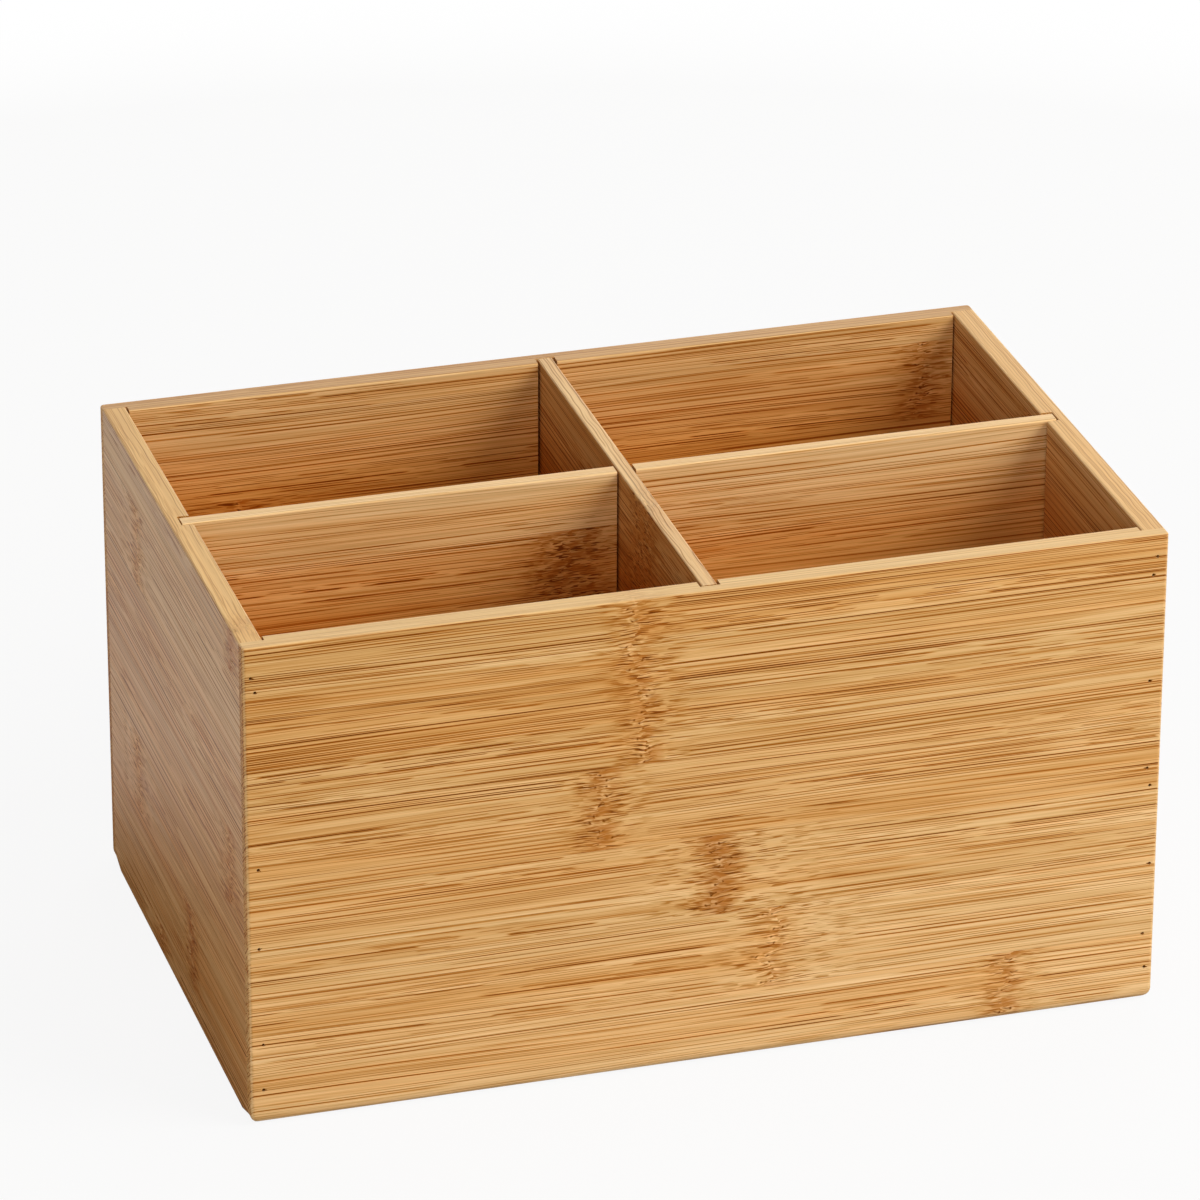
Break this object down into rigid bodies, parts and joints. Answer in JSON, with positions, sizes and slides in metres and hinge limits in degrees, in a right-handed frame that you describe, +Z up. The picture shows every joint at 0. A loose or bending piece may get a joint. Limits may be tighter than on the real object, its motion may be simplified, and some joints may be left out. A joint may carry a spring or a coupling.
{
  "type": "vanity organizer",
  "caption": "Open rectangular bamboo box with rabbeted, pinned corners and lift-out dividers that cross in a half lap, sorting brushes and toiletries into compartments.",
  "frame": {"origin": "under the middle of the box, on the plane of its lower edges", "axes": "+X to the right along the long front, +Y to the back, +Z up towards the rim"},
  "size_m": [0.235, 0.15, 0.13],
  "materials": {
    "bamboo_wall": "satin lacquered bamboo strips",
    "bamboo_divider": "satin lacquered bamboo strips",
    "bamboo_floor": "satin lacquered bamboo strips",
    "pin_steel": "dull dark steel"
  },
  "bodies": {
    "box": {"front_panel": "bamboo_wall", "back_panel": "bamboo_wall", "left_side_panel": "bamboo_wall", "right_side_panel": "bamboo_wall", "bottom_panel": "bamboo_floor", "front_left_pins": "pin_steel", "front_right_pins": "pin_steel", "back_right_pins": "pin_steel", "back_left_pins": "pin_steel"},
    "long_divider": {"long_divider": "bamboo_divider"},
    "cross_divider": {"cross_divider": "bamboo_divider"}
  },
  "joints": [
    {"name": "long_divider_lift", "type": "slide", "parent": "box", "child": "long_divider", "axis": [0, 0, 1], "range_m": [0, 0.125]},
    {"name": "cross_divider_lift", "type": "slide", "parent": "long_divider", "child": "cross_divider", "axis": [0, 0, 1], "range_m": [0, 0.125]}
  ]
}
